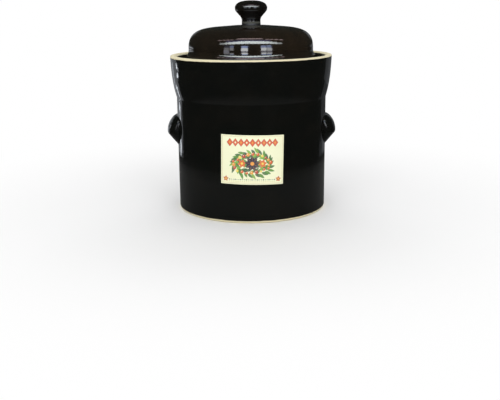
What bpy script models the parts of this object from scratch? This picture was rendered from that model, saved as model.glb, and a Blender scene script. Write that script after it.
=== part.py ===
"""Stoneware fermentation crock: a straight vessel, the collar, floor and neck of its water channel, two lug
handles, a paper label, a domed lid with a turned knob, and two half-moon weight stones.

Lengths are metres, +Z is up, and the origin is the middle of the base. The labelled front faces -Y.
Each length is set once below. What seats on, enters or follows another piece is worked out from it.
"""

import math

import bmesh
import bpy
from mathutils import Vector

# Facets of turned and filleted shapes
TURNED_STEPS = 60
KNOB_STEPS = 40
ARC_STEP = math.radians(31)

# Clearances
SEAM = 0.0003
SKIRT_CLEARANCE = 0.0050
WEIGHT_CLEARANCE = 0.0040
WEIGHT_SPLIT = 0.0020

# Vessel
VESSEL_RADIUS = 0.1308
VESSEL_HEIGHT = 0.1980
VESSEL_WALL = 0.0110
FLOOR_THICKNESS = 0.0120
FLOOR_ROUNDING = 0.0120
FOOT_ROUNDING = 0.0060
FOOT_RING_WIDTH = 0.0130
FOOT_RECESS = 0.0030

# Water channel: its outer collar, which stands on the vessel's wall
RIM_FLARE = 0.0098
COLLAR_SLOPE = 0.31
COLLAR_POWER = 2.8
COLLAR_WALL = 0.0120
COLLAR_STEPS = 6
COLLAR_SPACING = 0.85
LIP_ROUNDING = 0.0058
CHANNEL_DEPTH = 0.0500
CHANNEL_WIDTH = 0.0207

# Water channel: its floor, the crock's shoulder, inside the collar's foot
SHOULDER_LIFT = 0.0122
SHOULDER_THICKNESS = 0.0095
SHOULDER_ROUNDING = 0.0080
SLIP_FILLET = 0.0030

# Water channel: its neck ring, luted inside the floor
NECK_WALL = 0.0078
NECK_DROP = 0.0100

# Lid, the dome's foot measured up from the rim
LID_WALL = 0.0072
SKIRT_FLARE = 0.0035
SKIRT_FLARE_ARC = 0.0190
SKIRT_FLARE_STEPS = 4
SKIRT_FLARE_EDGE = 0.0015
DOME_FOOT = 0.0100
SKIRT_EDGE_ROUNDING = 0.0022
DOME_RISE = 0.0375
DOME_SIDE_POWER = 5.3
DOME_TOP_POWER = 2.65
DOME_INNER_TOP_POWER = 3.1
DOME_STEPS = 11
VENT_RADIUS = 0.0080
VENT_STEPS = 16

# Knob, from its seat on the lid upwards
STEM_RADIUS = 0.0163
STEM_FOOT = 0.0016
STEM_LENGTH = 0.0136
FLARE_LENGTH = 0.0120
FLARE_ROUNDING = 0.0100
BAND_LENGTH = 0.0055
BAND_ROUNDING = 0.0080
CAP_HEIGHT = 0.0122
CAP_POWER = 2.35
CAP_STEPS = 6
KNOB_RADIUS = 0.0278

# Lug handles, their height measured down from the vessel's top
HANDLE_WIDTH = 0.0780
HANDLE_REACH = 0.0182
HANDLE_DROP = 0.0315
HANDLE_TOP_HEIGHT = 0.0275
HANDLE_UNDER_HEIGHT = 0.0250
HANDLE_TOP_POWER = 1.72
HANDLE_NOSE_ROUNDING = 0.0060
HANDLE_ROOT_DEPTH = 0.0040
HANDLE_PLAN_POWER = 2.6
HANDLE_END_HEIGHT = 0.62
HANDLE_END_SHARE = 0.04
HANDLE_STATIONS = 14
HANDLE_TOP_STEPS = 7
POCKET_WIDTH = 0.0480
POCKET_REACH = 0.0112
POCKET_RISE = 0.0070
POCKET_LENGTH = 0.0240
POCKET_STEPS = 20

# Label, its height measured down from the vessel's top
LABEL_WIDTH = 0.1052
LABEL_HEIGHT = 0.0822
LABEL_DROP = 0.0484
LABEL_THICKNESS = 0.0003
LABEL_STEPS = 10

# Weight stones
WEIGHT_THICKNESS = 0.0200
WEIGHT_EDGE = 0.0025
FINGER_HOLE_RADIUS = 0.0140

# Sizes that follow
CHANNEL_SEAT = VESSEL_HEIGHT + SEAM
CHANNEL_FLOOR = SHOULDER_LIFT + SHOULDER_THICKNESS
COLLAR_HEIGHT = CHANNEL_FLOOR + CHANNEL_DEPTH
RIM_RADIUS = VESSEL_RADIUS + RIM_FLARE
VESSEL_BORE = VESSEL_RADIUS - VESSEL_WALL
LID_RADIUS = RIM_RADIUS - COLLAR_WALL - CHANNEL_WIDTH
LID_BORE = LID_RADIUS - LID_WALL
LID_SEAT = CHANNEL_SEAT + CHANNEL_FLOOR + SEAM
SKIRT_HEIGHT = CHANNEL_DEPTH - SEAM + DOME_FOOT
SKIRT_RADIUS = LID_RADIUS + SKIRT_FLARE
LID_HEIGHT = SKIRT_HEIGHT + DOME_RISE
NECK_RADIUS = LID_BORE - SKIRT_CLEARANCE
NECK_BORE = NECK_RADIUS - NECK_WALL
WEIGHT_RADIUS = NECK_BORE - WEIGHT_CLEARANCE
WEIGHT_SEAT = FOOT_RECESS + FLOOR_THICKNESS + SEAM
HANDLE_HEIGHT = VESSEL_HEIGHT - HANDLE_DROP - HANDLE_TOP_HEIGHT
LABEL_RADIUS = VESSEL_RADIUS + SEAM
LABEL_FOOT = VESSEL_HEIGHT - LABEL_DROP - LABEL_HEIGHT
FULL_TURN = 2 * math.pi
MERGE_DISTANCE = 0.00001


def clear_scene():
    """Remove what the file holds, so the model starts from nothing."""
    for item in list(bpy.data.objects):
        bpy.data.objects.remove(item, do_unlink=True)


def new_collection(name):
    """Make a collection in the scene."""
    collection = bpy.data.collections.new(name)
    bpy.context.scene.collection.children.link(collection)
    return collection


def ceramic_material(name, colour, roughness):
    """Make a plain, non-metallic material."""
    material = bpy.data.materials.new(name)
    material.use_nodes = True
    shader = material.node_tree.nodes["Principled BSDF"]
    shader.inputs["Base Color"].default_value = (*colour, 1.0)
    shader.inputs["Roughness"].default_value = roughness
    shader.inputs["Metallic"].default_value = 0.0
    return material


def add_empty(name, height, collection):
    """Add an empty on the crock's axis, to carry pieces that move together."""
    empty = bpy.data.objects.new(name, None)
    empty.empty_display_size = 0.05
    empty.location = (0, 0, height)
    collection.objects.link(empty)
    return empty


def add_object(name, mesh, collection, parent=None, material=None):
    """Add an object that shows a mesh."""
    item = bpy.data.objects.new(name, mesh)
    item.parent = parent
    if material is not None:
        mesh.materials.append(material)
    collection.objects.link(item)
    return item


def rounded_outline(corners, closed=False):
    """Turn (across, up, rounding) corners into points, with an arc tangent to both sides at each rounding."""
    points = []
    last = len(corners) - 1
    for index, (across, up, rounding) in enumerate(corners):
        corner = Vector((across, up))
        if rounding <= 0 or (not closed and index in (0, last)):
            points.append(corner)
            continue
        back = Vector(corners[index - 1][:2]) - corner
        ahead = Vector(corners[(index + 1) % len(corners)][:2]) - corner
        half_angle = back.angle(ahead) / 2
        reach = min(rounding / math.tan(half_angle), 0.49 * back.length, 0.49 * ahead.length)
        radius = reach * math.tan(half_angle)
        middle = (back.normalized() + ahead.normalized()).normalized()
        centre = corner + middle * radius / math.sin(half_angle)
        start = corner + back.normalized() * reach - centre
        finish = corner + ahead.normalized() * reach - centre
        sweep = start.angle_signed(finish)
        steps = max(1, math.ceil(abs(sweep) / ARC_STEP))
        for step in range(steps + 1):
            points.append(centre + turned(start, -sweep * step / steps))
    return points


def turned(vector, angle):
    """Turn a flat vector anticlockwise."""
    cosine, sine = math.cos(angle), math.sin(angle)
    return Vector((cosine * vector.x - sine * vector.y, sine * vector.x + cosine * vector.y))


def superellipse(across, up, side_power, top_power, steps):
    """Points of a quarter superellipse, from its top on the axis to its side."""
    points = []
    for step in range(steps + 1):
        angle = math.pi / 2 * (1 - step / steps)
        x = across * max(math.cos(angle), 0.0) ** (2 / side_power)
        y = up * math.sin(angle) ** (2 / top_power)
        points.append(Vector((0.0 if step == 0 else x, y)))
    return points


def profile_mesh(name, points, closed=False):
    """Make a mesh of edges from (radius, height) points, to be turned about the axis."""
    count = len(points)
    edges = [(index, index + 1) for index in range(count - 1)]
    if closed:
        edges.append((count - 1, 0))
    mesh = bpy.data.meshes.new(name)
    mesh.from_pydata([(point.x, 0.0, point.y) for point in points], edges, [])
    return mesh


def turn(item, steps, angle=FULL_TURN):
    """Turn an object's profile about its Z axis."""
    screw = item.modifiers.new("Turned", "SCREW")
    screw.axis = "Z"
    screw.angle = angle
    screw.steps = steps
    screw.render_steps = steps
    screw.use_merge_vertices = angle == FULL_TURN
    screw.merge_threshold = MERGE_DISTANCE
    screw.use_smooth_shade = True


def cut(item, cutter):
    """Cut one object with another, by an exact Boolean."""
    boolean = item.modifiers.new("Cut by " + cutter.name, "BOOLEAN")
    boolean.operation = "DIFFERENCE"
    boolean.solver = "EXACT"
    boolean.object = cutter


def add_cutter(name, mesh, collection, parent=None):
    """Add an object that only cuts others."""
    cutter = add_object(name, mesh, collection, parent)
    cutter.hide_render = True
    cutter.display_type = "WIRE"
    return cutter


def mesh_from_bmesh(name, shape):
    """Turn a bmesh into a mesh and free it."""
    mesh = bpy.data.meshes.new(name)
    shape.to_mesh(mesh)
    shape.free()
    return mesh


def collar_radius(depth):
    """Outer radius of the collar at a depth below the rim: it draws in faster towards the seam."""
    share = depth / COLLAR_HEIGHT
    drawn_in = COLLAR_SLOPE * share + (1 - COLLAR_SLOPE) * share**COLLAR_POWER
    return RIM_RADIUS - RIM_FLARE * drawn_in


def build_vessel(collection, material):
    """The straight wall and floor, with a recessed base that leaves a foot ring."""
    foot_inner = VESSEL_RADIUS - FOOT_ROUNDING - FOOT_RING_WIDTH
    corners = [
        (0.0, FOOT_RECESS + FLOOR_THICKNESS, 0.0),
        (VESSEL_BORE, FOOT_RECESS + FLOOR_THICKNESS, FLOOR_ROUNDING),
        (VESSEL_BORE, VESSEL_HEIGHT, 0.0),
        (VESSEL_RADIUS, VESSEL_HEIGHT, 0.0),
        (VESSEL_RADIUS, 0.0, FOOT_ROUNDING),
        (foot_inner, 0.0, 0.0),
        (foot_inner - FOOT_RECESS, FOOT_RECESS, 0.0),
        (0.0, FOOT_RECESS, 0.0),
    ]
    mesh = profile_mesh("crock_vessel", rounded_outline(corners))
    vessel = add_object("crock_vessel", mesh, collection, material=material)
    turn(vessel, TURNED_STEPS)
    return vessel


def build_collar(collection, material):
    """The channel's flared outer wall, luted on the outer part of the vessel's wall."""
    half_depth = CHANNEL_DEPTH / 2
    foot_bore = collar_radius(CHANNEL_DEPTH) - COLLAR_WALL
    corners = [(RIM_RADIUS, COLLAR_HEIGHT, LIP_ROUNDING)]
    for step in range(1, COLLAR_STEPS + 1):
        depth = COLLAR_HEIGHT * (step / COLLAR_STEPS) ** COLLAR_SPACING
        corners.append((collar_radius(depth), COLLAR_HEIGHT - depth, 0.0))
    corners += [
        (foot_bore, 0.0, 0.0),
        (foot_bore, CHANNEL_FLOOR, 0.0),
        (collar_radius(half_depth) - COLLAR_WALL, COLLAR_HEIGHT - half_depth, 0.0),
        (RIM_RADIUS - COLLAR_WALL, COLLAR_HEIGHT, LIP_ROUNDING),
    ]
    mesh = profile_mesh("water_collar", rounded_outline(corners, closed=True), closed=True)
    collar = add_object("water_collar", mesh, collection, material=material)
    collar.location = (0, 0, CHANNEL_SEAT)
    turn(collar, TURNED_STEPS)
    return collar


def build_floor(collection, material):
    """The channel's floor, which closes the crock's shoulder, with a fillet of slip round its outer edge."""
    outer_edge = collar_radius(CHANNEL_DEPTH) - COLLAR_WALL - SEAM
    inner_edge = NECK_RADIUS + SEAM
    corners = [
        (outer_edge, CHANNEL_FLOOR + SLIP_FILLET, 0.0),
        (outer_edge, 0.0, 0.0),
        (VESSEL_BORE, 0.0, 0.0),
        (VESSEL_BORE, SHOULDER_LIFT, SHOULDER_ROUNDING),
        (inner_edge, SHOULDER_LIFT, 0.0),
        (inner_edge, CHANNEL_FLOOR, 0.0),
        (outer_edge - SLIP_FILLET, CHANNEL_FLOOR, SLIP_FILLET),
    ]
    mesh = profile_mesh("channel_floor", rounded_outline(corners, closed=True), closed=True)
    floor = add_object("channel_floor", mesh, collection, material=material)
    floor.location = (0, 0, CHANNEL_SEAT)
    turn(floor, TURNED_STEPS)
    return floor


def build_neck(collection, material):
    """The neck ring inside the channel's floor, which keeps the sealing water out of the crock."""
    top = COLLAR_HEIGHT - NECK_DROP
    edge_rounding = NECK_WALL / 2
    corners = [
        (NECK_RADIUS, top, edge_rounding),
        (NECK_RADIUS, SHOULDER_LIFT, 0.0),
        (NECK_BORE, SHOULDER_LIFT, edge_rounding),
        (NECK_BORE, top, edge_rounding),
    ]
    mesh = profile_mesh("neck_ring", rounded_outline(corners, closed=True), closed=True)
    neck = add_object("neck_ring", mesh, collection, material=material)
    neck.location = (0, 0, CHANNEL_SEAT)
    turn(neck, TURNED_STEPS)
    return neck


def build_lid(collection, cutters, carrier, material):
    """The dished dome and the skirt that stands in the water, with a vent notch at the front and back."""
    points = [
        Vector((point.x, point.y + SKIRT_HEIGHT))
        for point in superellipse(LID_RADIUS, DOME_RISE, DOME_SIDE_POWER, DOME_TOP_POWER, DOME_STEPS)
    ]
    edge = []
    flare_drop = math.sqrt(SKIRT_FLARE_ARC**2 - (SKIRT_FLARE_ARC - SKIRT_FLARE) ** 2)
    for step in range(SKIRT_FLARE_STEPS + 1):
        drop = flare_drop * step / SKIRT_FLARE_STEPS
        outwards = SKIRT_FLARE_ARC - math.sqrt(SKIRT_FLARE_ARC**2 - drop**2)
        rounding = SKIRT_FLARE_EDGE if step == SKIRT_FLARE_STEPS else 0.0
        edge.append((LID_RADIUS + outwards, SKIRT_HEIGHT - drop, rounding))
    edge += [
        (SKIRT_RADIUS, 0.0, SKIRT_EDGE_ROUNDING),
        (LID_BORE, 0.0, SKIRT_EDGE_ROUNDING),
        (LID_BORE, SKIRT_HEIGHT, 0.0),
    ]
    points += rounded_outline(edge)[1:-1]
    rise = DOME_RISE - LID_WALL
    inside = superellipse(LID_BORE, rise, DOME_SIDE_POWER, DOME_INNER_TOP_POWER, DOME_STEPS - 2)
    points += [Vector((point.x, point.y + SKIRT_HEIGHT)) for point in reversed(inside)]
    mesh = profile_mesh("lid_shell", points)
    lid = add_object("lid_shell", mesh, collection, carrier, material)
    turn(lid, TURNED_STEPS)

    shape = bmesh.new()
    bmesh.ops.create_cone(
        shape,
        cap_ends=True,
        segments=VENT_STEPS,
        radius1=VENT_RADIUS,
        radius2=VENT_RADIUS,
        depth=4 * LID_RADIUS,
    )
    vents = add_cutter("vent_cutter", mesh_from_bmesh("vent_cutter", shape), cutters, carrier)
    vents.rotation_euler = (math.pi / 2, 0, 0)
    cut(lid, vents)
    return lid


def build_knob(collection, carrier, material):
    """The turned knob: a stem that flares into a flattened ball."""
    flare_foot = STEM_LENGTH
    flare_top = flare_foot + FLARE_LENGTH
    cap_foot = flare_top + BAND_LENGTH
    cap = superellipse(KNOB_RADIUS, CAP_HEIGHT, CAP_POWER, CAP_POWER, CAP_STEPS)
    points = [Vector((point.x, point.y + cap_foot)) for point in cap]
    corners = [
        (KNOB_RADIUS, cap_foot, 0.0),
        (KNOB_RADIUS, flare_top, BAND_ROUNDING),
        (STEM_RADIUS, flare_foot, FLARE_ROUNDING),
        (STEM_RADIUS, STEM_FOOT, 0.0),
        (STEM_RADIUS + STEM_FOOT, 0.0, 0.0),
        (0.0, 0.0, 0.0),
    ]
    points += rounded_outline(corners)[1:]
    knob = add_object("lid_knob", profile_mesh("lid_knob", points), collection, carrier, material)
    knob.location = (0, 0, LID_HEIGHT + SEAM)
    turn(knob, KNOB_STEPS)
    return knob


def lug_section():
    """Outline of a lug at its middle, as (outwards, up) from the wall at the nose's height."""
    top = superellipse(HANDLE_TOP_HEIGHT, HANDLE_REACH, HANDLE_TOP_POWER, HANDLE_TOP_POWER, HANDLE_TOP_STEPS)
    crown = [Vector((point.y, point.x)) for point in reversed(top)]
    nose = [
        (crown[-2].x, crown[-2].y, 0.0),
        (HANDLE_REACH, -HANDLE_NOSE_ROUNDING / 2, HANDLE_NOSE_ROUNDING),
        (0.0, -HANDLE_UNDER_HEIGHT, 0.0),
    ]
    root = [
        Vector((-HANDLE_ROOT_DEPTH, -HANDLE_UNDER_HEIGHT)),
        Vector((-HANDLE_ROOT_DEPTH, HANDLE_TOP_HEIGHT)),
    ]
    return crown[:-1] + rounded_outline(nose)[1:] + root


def lug_mesh():
    """Loft the lug's section along the wall, shrinking it towards both ends."""
    section = lug_section()
    shape = bmesh.new()
    rings = []
    for station in range(HANDLE_STATIONS + 1):
        share = HANDLE_END_SHARE + (1 - 2 * HANDLE_END_SHARE) * station / HANDLE_STATIONS
        turn_angle = math.pi * share - math.pi / 2
        along = math.copysign(abs(math.sin(turn_angle)) ** (2 / HANDLE_PLAN_POWER), turn_angle)
        swell = math.cos(turn_angle) ** (2 / HANDLE_PLAN_POWER)
        tall = HANDLE_END_HEIGHT + (1 - HANDLE_END_HEIGHT) * swell
        around = along * HANDLE_WIDTH / 2 / VESSEL_RADIUS
        ring = []
        for point in section:
            outwards = VESSEL_RADIUS - HANDLE_ROOT_DEPTH + swell * (point.x + HANDLE_ROOT_DEPTH)
            place = (outwards * math.cos(around), outwards * math.sin(around), tall * point.y)
            ring.append(shape.verts.new(place))
        rings.append(ring)
    count = len(section)
    for near, far in zip(rings, rings[1:]):
        for index in range(count):
            following = (index + 1) % count
            shape.faces.new((near[index], near[following], far[following], far[index]))
    shape.faces.new(rings[0])
    shape.faces.new(reversed(rings[-1]))
    bmesh.ops.recalc_face_normals(shape, faces=shape.faces)
    for face in shape.faces:
        face.smooth = True
    return mesh_from_bmesh("lug_handle", shape)


def pocket_mesh():
    """A flattened ball that hollows the lug from below for the fingers."""
    shape = bmesh.new()
    bmesh.ops.create_uvsphere(shape, u_segments=POCKET_STEPS, v_segments=POCKET_STEPS // 2, radius=1.0)
    bmesh.ops.scale(shape, vec=(POCKET_REACH, POCKET_WIDTH / 2, POCKET_LENGTH), verts=shape.verts)
    return mesh_from_bmesh("pocket_cutter", shape)


def wall_cutter(cutters):
    """The vessel's outer wall grown by the seam, which shapes the back of each lug."""
    radius = VESSEL_RADIUS + SEAM
    height = VESSEL_HEIGHT
    corners = [(0.0, height, 0.0), (radius, height, 0.0), (radius, 0.0, 0.0), (0.0, 0.0, 0.0)]
    mesh = profile_mesh("wall_cutter", rounded_outline(corners))
    cutter = add_cutter("wall_cutter", mesh, cutters)
    turn(cutter, TURNED_STEPS)
    return cutter


def build_handles(collection, cutters, material):
    """Two lug handles pressed on the wall, facing each other across the crock."""
    wall = wall_cutter(cutters)
    handles = []
    for name, angle in (("handle_right", 0.0), ("handle_left", math.pi)):
        handle = add_object(name, lug_mesh(), collection, material=material)
        handle.location = (0, 0, HANDLE_HEIGHT)
        handle.rotation_euler = (0, 0, angle)
        pocket = add_cutter(name + "_pocket_cutter", pocket_mesh(), cutters, handle)
        pocket.location = (VESSEL_RADIUS, 0, POCKET_RISE - POCKET_LENGTH)
        cut(handle, wall)
        cut(handle, pocket)
        handles.append(handle)
    return handles


def build_label(collection, material):
    """The paper label, a thin curved sheet on the front of the vessel."""
    edge = [Vector((LABEL_RADIUS, LABEL_HEIGHT)), Vector((LABEL_RADIUS, 0.0))]
    label = add_object("label", profile_mesh("label", edge), collection, material=material)
    angle = LABEL_WIDTH / LABEL_RADIUS
    label.location = (0, 0, LABEL_FOOT)
    label.rotation_euler = (0, 0, -(math.pi + angle) / 2)
    turn(label, LABEL_STEPS, angle)
    solidify = label.modifiers.new("Paper", "SOLIDIFY")
    solidify.thickness = LABEL_THICKNESS
    solidify.offset = 1.0
    return label


def half_moon_points():
    """Outline of one stone: half a disc less the split, with half a finger hole in its straight edge."""
    half_split = WEIGHT_SPLIT / 2
    rim_angle = math.acos(half_split / WEIGHT_RADIUS)
    hole_angle = math.acos(half_split / FINGER_HOLE_RADIUS)
    rim_steps = TURNED_STEPS // 2
    hole_steps = TURNED_STEPS // 6
    points = []
    for step in range(rim_steps + 1):
        angle = rim_angle * (2 * step / rim_steps - 1)
        points.append((WEIGHT_RADIUS * math.cos(angle), WEIGHT_RADIUS * math.sin(angle), 0.0))
    for step in range(hole_steps + 1):
        angle = hole_angle * (1 - 2 * step / hole_steps)
        points.append((FINGER_HOLE_RADIUS * math.cos(angle), FINGER_HOLE_RADIUS * math.sin(angle), 0.0))
    return points


def build_weights(collection, material):
    """Two half-moon stones that lie on the floor side by side."""
    stones = []
    for name, angle in (("weight_stone_right", 0.0), ("weight_stone_left", math.pi)):
        shape = bmesh.new()
        shape.faces.new([shape.verts.new(point) for point in half_moon_points()])
        stone = add_object(name, mesh_from_bmesh(name, shape), collection, material=material)
        stone.location = (0, 0, WEIGHT_SEAT)
        stone.rotation_euler = (0, 0, angle)
        solidify = stone.modifiers.new("Thickness", "SOLIDIFY")
        solidify.thickness = WEIGHT_THICKNESS
        solidify.offset = 1.0
        bevel = stone.modifiers.new("Soft edges", "BEVEL")
        bevel.width = WEIGHT_EDGE
        bevel.segments = 2
        bevel.limit_method = "ANGLE"
        bevel.angle_limit = math.radians(40)
        stones.append(stone)
    return stones


def build_crock():
    """Build every piece of the crock."""
    clear_scene()
    pieces = new_collection("fermentation_crock")
    cutters = new_collection("cutters")
    build_vessel(pieces, ceramic_material("vessel_glaze", (0.009, 0.009, 0.009), 0.12))
    build_collar(pieces, ceramic_material("collar_glaze", (0.009, 0.009, 0.009), 0.12))
    build_floor(pieces, ceramic_material("channel_glaze", (0.009, 0.009, 0.009), 0.12))
    build_neck(pieces, ceramic_material("neck_glaze", (0.009, 0.009, 0.009), 0.12))
    build_handles(pieces, cutters, ceramic_material("handle_glaze", (0.009, 0.009, 0.009), 0.14))
    build_label(pieces, ceramic_material("label_paper", (0.80, 0.80, 0.62), 0.60))
    lid_carrier = add_empty("lid_carrier", LID_SEAT, pieces)
    build_lid(pieces, cutters, lid_carrier, ceramic_material("lid_glaze", (0.020, 0.013, 0.009), 0.14))
    build_knob(pieces, lid_carrier, ceramic_material("knob_glaze", (0.014, 0.010, 0.008), 0.14))
    build_weights(pieces, ceramic_material("weight_stoneware", (0.52, 0.43, 0.31), 0.75))


build_crock()
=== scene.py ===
"""Looks of the stoneware fermentation crock: turned clay, glaze, raw rims, a printed label, and light.

Lengths are metres. The crock's axis is Z and its labelled front faces -Y. Places and outer sizes come
from the frame's boxes; the values below are the sizes that a box doesn't show.
"""

import math
import random

import bmesh
import bpy
import numpy as np
from mathutils import Matrix, Vector, noise


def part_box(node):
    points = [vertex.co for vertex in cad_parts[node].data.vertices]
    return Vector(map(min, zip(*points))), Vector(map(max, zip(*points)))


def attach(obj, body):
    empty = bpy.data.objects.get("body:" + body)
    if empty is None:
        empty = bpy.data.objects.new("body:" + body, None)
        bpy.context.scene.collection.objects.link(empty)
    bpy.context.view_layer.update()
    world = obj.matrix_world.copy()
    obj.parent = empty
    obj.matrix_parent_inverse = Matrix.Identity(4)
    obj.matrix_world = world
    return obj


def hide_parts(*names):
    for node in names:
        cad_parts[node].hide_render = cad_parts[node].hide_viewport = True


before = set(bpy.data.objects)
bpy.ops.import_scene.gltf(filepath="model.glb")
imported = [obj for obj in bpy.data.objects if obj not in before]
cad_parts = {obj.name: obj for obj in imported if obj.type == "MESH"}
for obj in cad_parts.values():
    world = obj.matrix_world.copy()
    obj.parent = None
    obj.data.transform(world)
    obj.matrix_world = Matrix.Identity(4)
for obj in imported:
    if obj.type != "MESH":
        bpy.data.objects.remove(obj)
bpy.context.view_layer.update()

MM = 0.001

# Fineness of shapes, and the angles above which an edge stays sharp
TURN_SEGMENTS = 224
KNOB_SEGMENTS = 128
ARC_STEP = math.radians(7)
ARC_REACH = 0.49
LONGEST_STEP = 2.4 * MM
ON_AXIS = 0.01 * MM
SAME_PLACE = 0.005 * MM
SMALL_ROUNDING = 1.0 * MM
SHARP_ANGLE = math.radians(50)
SHARP_CLAY_ANGLE = math.radians(60)

# Crock: walls, roundings and curves
WALL = 11.0 * MM
FLOOR_THICKNESS = 12.0 * MM
FLOOR_ROUNDING = 12.0 * MM
FOOT_ROUNDING = 6.0 * MM
FOOT_RING_WIDTH = 13.0 * MM
FOOT_RECESS = 3.0 * MM
COLLAR_WALL = 12.0 * MM
COLLAR_SLOPE = 0.31
COLLAR_POWER = 2.8
COLLAR_POINTS = 26
COLLAR_SPACING = 0.85
LIP_ROUNDING = 5.8 * MM
SHOULDER_THICKNESS = 9.5 * MM
SHOULDER_ROUNDING = 8.0 * MM
CHANNEL_ROUNDING = 5.0 * MM
NECK_WALL = 7.8 * MM
NECK_FILLET = 3.0 * MM
CREASE_ABOVE = 1.2 * MM
CREASE_ROUNDING = 1.5 * MM

# Lid and knob
LID_WALL = 7.2 * MM
SKIRT_FLARE = 3.5 * MM
FLARE_DROP = 10.3 * MM
FLARE_POWER = 2.5
FLARE_EDGE = 1.5 * MM
FLARE_POINTS = 12
DOME_FOOT = 10.0 * MM
DOME_SIDE_POWER = 5.3
DOME_TOP_POWER = 2.65
DOME_INNER_TOP_POWER = 3.1
DOME_POINTS = 44
SKIRT_EDGE_ROUNDING = 2.2 * MM
VENT_RADIUS = 8.0 * MM
VENT_SEGMENTS = 48
STEM_RADIUS = 16.3 * MM
STEM_DRAFT = 0.5 * MM
STEM_FOOT = 1.6 * MM
STEM_LENGTH = 13.6 * MM
STEM_FLARE_LENGTH = 12.7 * MM
STEM_FLARE_ROUNDING = 12.0 * MM
BELT_HEIGHT = 5.1 * MM
BELT_DRAFT = 0.5 * MM
BELT_ROUNDING = 6.0 * MM
BELT_FOOT_ROUNDING = 8.0 * MM
CAP_SINK = 1.9 * MM
CAP_EDGE = 3.2 * MM
CAP_POWER = 2.5
CAP_POINTS = 24
KNOB_SINK = 0.2 * MM
KNOB_SHIFT = 1.0 * MM
BOSS_REACH = 60.0 * MM
BOSS_RISE = 3.3 * MM
BOSS_POWER = 2.2

# Lug handles
HANDLE_WIDTH = 78.0 * MM
HANDLE_REACH = 18.4 * MM
HANDLE_TOP_HEIGHT = 27.5 * MM
HANDLE_UNDER_HEIGHT = 25.0 * MM
HANDLE_TOP_POWER = 1.8
HANDLE_NOSE_ROUNDING = 6.0 * MM
HANDLE_TIP_ROUNDING = 1.6 * MM
HANDLE_ROOT_DEPTH = 4.0 * MM
HANDLE_ROOT_FILLET = 3.0 * MM
HANDLE_PLAN_POWER = 2.6
HANDLE_END_HEIGHT = 0.62
HANDLE_END_SHARE = 0.04
HANDLE_STATIONS = 84
HANDLE_CROWN_POINTS = 24
POCKET_WIDTH = 48.0 * MM
POCKET_REACH = 11.2 * MM
POCKET_RISE = 7.0 * MM
POCKET_POINTS = 12
POCKET_TIP_SHARE = 0.8
LEAST_POCKET = 0.02
NOSE_STEPS = 8
UNDER_STEPS = 6
TIP_STEPS = 5
LUG_UNEVEN = 0.25 * MM
LUG_GRAINS = 60.0
LUGS_APART = 3

# Label and weight stones
LABEL_THICKNESS = 0.28 * MM
LABEL_LIFT = 0.03 * MM
LABEL_STEP = 0.40 * MM
LABEL_TILT = math.radians(1.2)
LABEL_SHIFT = 0.9 * MM
LABEL_OUTSIDE = 0.6 * MM
FINGER_HOLE_RADIUS = 14.0 * MM
STONE_EDGE = 2.5 * MM
STONE_EDGE_SEGMENTS = 5
STONE_EDGE_ANGLE = math.radians(40)
STONE_STEPS = 96
STONE_HOLE_STEPS = 24

# What the wheel leaves, fading out near the axis: finger rings and slow ovals, as waves of a share, a count
# round the crock, a start and a twist per metre
OVAL = 0.20 * MM
OVAL_WAVES = ((1.0, 2, 0.7, 5.0), (0.5, 3, -1.1, 11.0))
OVAL_SHARES = sum(wave[0] for wave in OVAL_WAVES)
RINGS = 0.06 * MM
RING_SPACING = 7.0 * MM
RING_WANDER = 0.3
TRUE_CENTRE = 20.0 * MM

# Grains per metre of the noises in the glaze, the clay and the paper
EDGE_GRAINS = 70.0
CLOUD_GRAINS = 22.0
SPECK_GRAINS = 900.0
GLOSS_GRAINS = 60.0
SLOW_RIPPLE_GRAINS = 34.0
FINE_RIPPLE_GRAINS = 130.0
GROG_GRAINS = 1400.0
CLAY_CLOUD_GRAINS = 90.0
FIBRE_GRAINS = 700.0
PAPER_CLOUD_GRAINS = 40.0

# Depths of relief
SLOW_RIPPLE = 0.30 * MM
FINE_RIPPLE = 0.09 * MM
GROG_DEPTH = 0.06 * MM
GLAZE_STEP = 0.25 * MM
COCKLE = 0.12 * MM
FIBRE_DEPTH = 0.01 * MM

# Where the glaze stops, below the crest or above a foot, and how far its line wanders
LIP_TURN = 2.0 * MM
LIP_GLAZE_INSIDE = 2.0 * MM
LIP_GLAZE_OUTSIDE = 2.3 * MM
LIP_GLAZE_LEFT = 0.9 * MM
LIP_GLAZE_LEFT_REACH = 0.65
LIP_WANDER = 0.45 * MM
FOOT_WIPED = 4.5 * MM
FOOT_WANDER = 0.8 * MM
SKIRT_WIPED = 5.0 * MM
SKIRT_WANDER = 0.6 * MM
STEM_WIPED = (4.9 * MM, 8.0 * MM)
STEM_WANDER = 0.3 * MM

# The stones' glaze: its colour isn't seen, because its edge lies below everything
UNSEEN = (0.1, 0.1, 0.1)
BELOW_ALL = -1.0

# Glaze at the knob's foot: its roughness, and the radii and heights between which it turns glossy
DULL_GLAZE = 0.50
DULL_REACH = (21.0 * MM, 38.0 * MM)
DULL_FOOT = (5.0 * MM, 7.0 * MM)

# Light: directions in degrees, azimuth 0 on the camera's side and negative to its left
LIGHT_CENTRE = 0.28
LIGHT_DISTANCE = 2.5
FILL_DISTANCE = 3.5
WHITE = (1.0, 1.0, 1.0)
DAYLIGHT = (0.88, 0.93, 1.0)
BLUE_SKY = (0.50, 0.62, 1.0)
PANE_LIGHT = (0.95, 0.97, 1.0)
SILL_LIGHT = (0.85, 0.85, 1.0)
STRIP_LIGHT = (0.90, 0.98, 0.97)
DUSK = (0.42, 0.42, 1.0)
LAMPLIGHT = (1.0, 0.76, 0.76)

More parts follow.
